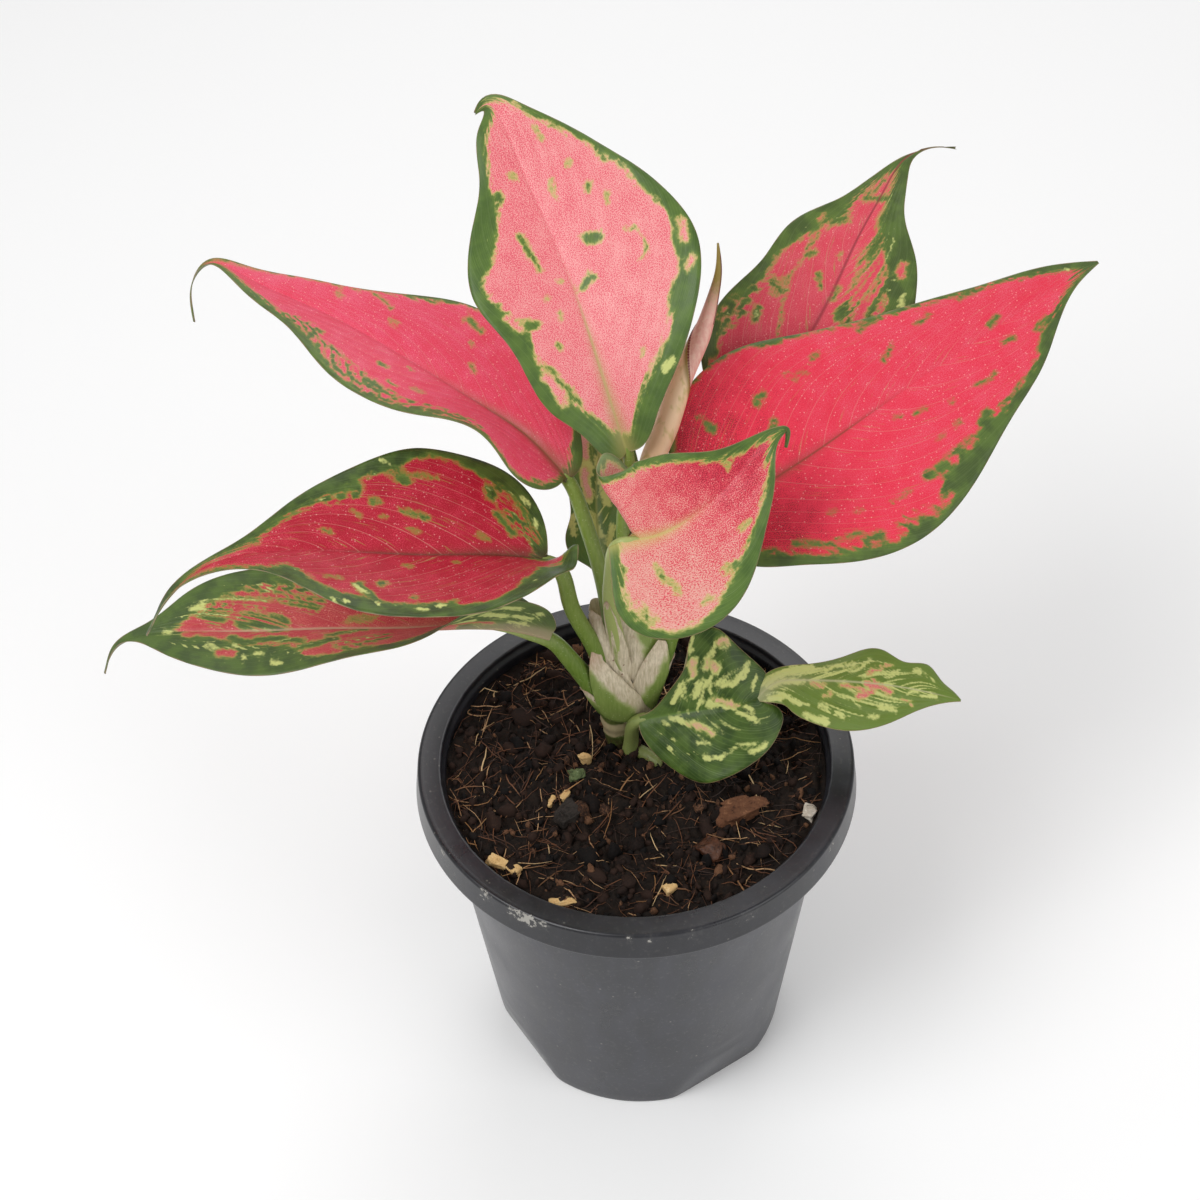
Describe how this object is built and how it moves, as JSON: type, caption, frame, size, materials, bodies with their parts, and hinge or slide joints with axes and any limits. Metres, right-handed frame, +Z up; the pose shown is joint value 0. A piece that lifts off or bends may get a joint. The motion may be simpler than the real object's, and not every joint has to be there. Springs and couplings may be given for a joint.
{
  "type": "potted leafy houseplant",
  "caption": "Small leafy houseplant with broad pink, red and green pointed leaves on slim upright stalks, in a round tapered plastic nursery pot filled with coir soil.",
  "frame": {"origin": "middle of the pot's flat underside", "axes": "+Z up, -Y towards the plant's front as pictured, +X to its right"},
  "size_m": [0.3328, 0.2127, 0.3316],
  "materials": {
    "pot_plastic": "semi-matte moulded, dusty",
    "soil": "loose coir with tan fibres",
    "stem_skin": "green skin with papery cream sheaths",
    "leaf": "satin leaf, pink to red with green margins",
    "wood_chip": "dry, rough",
    "stone": "dull pale stone",
    "bark": "rough bark"
  },
  "bodies": {
    "root": {"pot": "pot_plastic", "soil": "soil", "cane": "stem_skin", "old_stub": "stem_skin", "leaf_top": "leaf", "leaf_upper_left": "leaf", "leaf_middle_left": "leaf", "leaf_lower_left": "leaf", "leaf_front": "leaf", "leaf_right": "leaf", "leaf_upper_right": "leaf", "leaf_low": "leaf", "leaf_back": "leaf", "leaf_rolled": "leaf", "wood_chip_1": "wood_chip", "wood_chip_2": "wood_chip", "wood_chip_3": "wood_chip", "wood_chip_4": "wood_chip", "wood_chip_5": "wood_chip", "wood_chip_6": "wood_chip", "wood_chip_7": "wood_chip", "white_stone": "stone", "brown_lump": "bark", "bark_piece": "bark", "dark_lump": "bark", "mossy_lump": "bark"}
  },
  "joints": []
}
